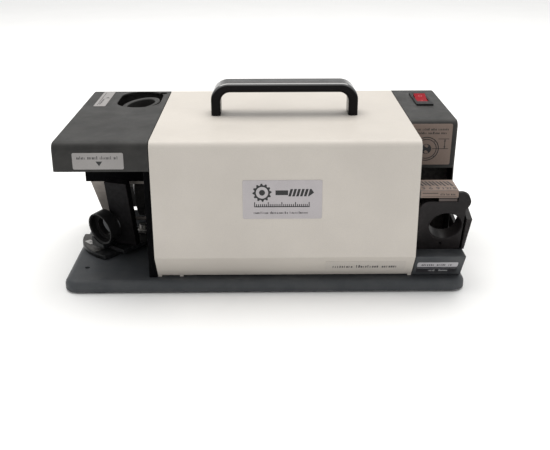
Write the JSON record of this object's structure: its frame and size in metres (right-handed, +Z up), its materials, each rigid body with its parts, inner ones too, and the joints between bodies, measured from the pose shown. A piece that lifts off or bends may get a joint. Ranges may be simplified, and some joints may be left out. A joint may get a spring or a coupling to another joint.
{
  "type": "drill bit sharpener",
  "caption": "Bench drill bit sharpener: white motor cover with carrying handle, hooded thinning port, swivelling point-angle socket and chuck setting station.",
  "frame": {"origin": "centre of the footprint, on the surface the rubber feet stand on", "axes": "+Z up, -Y towards the operator, +X to the operator's right along the motor shaft"},
  "size_m": [0.426, 0.2377, 0.2032],
  "materials": {
    "white_paint": "fine powder coat, satin",
    "grey_paint": "hammer-free dark grey powder coat, satin",
    "black_paint": "semi-matte black coat on castings",
    "black_handle": "satin moulded plastic",
    "black_plastic": "moulded plastic with a fine grain",
    "red_plastic": "glossy translucent red moulding",
    "rubber": "matte rubber",
    "bright_steel": "ground and brushed steel",
    "dark_steel": "oil-blackened steel",
    "zinc_sheet": "zinc-plated sheet",
    "machined_aluminium": "machined aluminium",
    "cast_motor": "painted cast motor end bells",
    "brass": "tinned brass blades",
    "abrasive": "dark bonded abrasive grit",
    "silver_label": "printed silver foil label",
    "paper_label": "printed light film label",
    "scale_print": "white printed scale"
  },
  "bodies": {
    "machine": {"base_plate": "grey_paint", "rubber_feet": "rubber", "foot_screws": "bright_steel", "centre_cover": "white_paint", "cover_screws": "dark_steel", "handle": "black_handle", "handle_screws": "bright_steel", "left_hood": "grey_paint", "left_bulkhead": "black_paint", "right_bulkhead": "black_paint", "right_housing": "grey_paint", "station_back_panel": "black_paint", "switch_bezel": "black_plastic", "switch_terminals": "brass", "power_inlet": "black_plastic", "inlet_contacts": "brass", "inlet_screws": "dark_steel", "motor_stator": "dark_steel", "motor_bells": "cast_motor", "bearings": "bright_steel", "tie_screws": "bright_steel", "motor_cradle": "zinc_sheet", "capacitor": "machined_aluminium", "capacitor_clip": "zinc_sheet", "wheel_guard": "black_paint", "guard_face": "bright_steel", "thinning_socket": "grey_paint", "thinning_bracket": "zinc_sheet", "angle_plate": "black_paint", "angle_scale": "scale_print", "scale_mark": "scale_print", "pivot_pin": "bright_steel", "station_block": "grey_paint", "setting_casting": "black_paint", "side_cheek": "black_paint", "plate_bracket": "zinc_sheet", "scale_plate": "machined_aluminium", "set_screw": "dark_steel", "point_angle_label": "silver_label", "name_plate": "silver_label", "thinning_label": "silver_label", "scale_labels": "paper_label", "diagram_label": "paper_label", "strip_label": "silver_label", "block_labels": "silver_label"},
    "rotor": {"rotor_shaft": "bright_steel", "rotor_core": "machined_aluminium", "cooling_fan": "black_plastic", "grinding_wheel": "abrasive", "wheel_flanges": "machined_aluminium", "wheel_nut": "bright_steel"},
    "holder": {"swivel_block": "black_paint", "chuck_socket": "black_paint", "socket_liner": "dark_steel", "holder_column": "black_paint"},
    "clamp": {"clamp_nut": "bright_steel"},
    "slider": {"setting_slider": "bright_steel", "stop_pin": "bright_steel"},
    "rocker": {"switch_rocker": "red_plastic"}
  },
  "joints": [
    {"name": "wheel_spin", "type": "hinge", "parent": "machine", "child": "rotor", "pos_m": [0, 0.05, 0.075], "axis": [1, 0, 0], "continuous": true},
    {"name": "holder_swivel", "type": "hinge", "parent": "machine", "child": "holder", "pos_m": [-0.142, 0.006, 0.022], "axis": [0, 0, 1], "range_deg": [-5, 20]},
    {"name": "clamp_nut_turn", "type": "hinge", "parent": "machine", "child": "clamp", "pos_m": [-0.142, 0.006, 0.027], "axis": [0, 0, 1], "range_deg": [0, 90]},
    {"name": "slider_travel", "type": "slide", "parent": "machine", "child": "slider", "axis": [1, 0, 0], "range_m": [-0.014, 0]},
    {"name": "rocker_tip", "type": "hinge", "parent": "machine", "child": "rocker", "pos_m": [0.1844, 0.0604, 0.1635], "axis": [1, 0, 0], "range_deg": [-16, 0]}
  ]
}
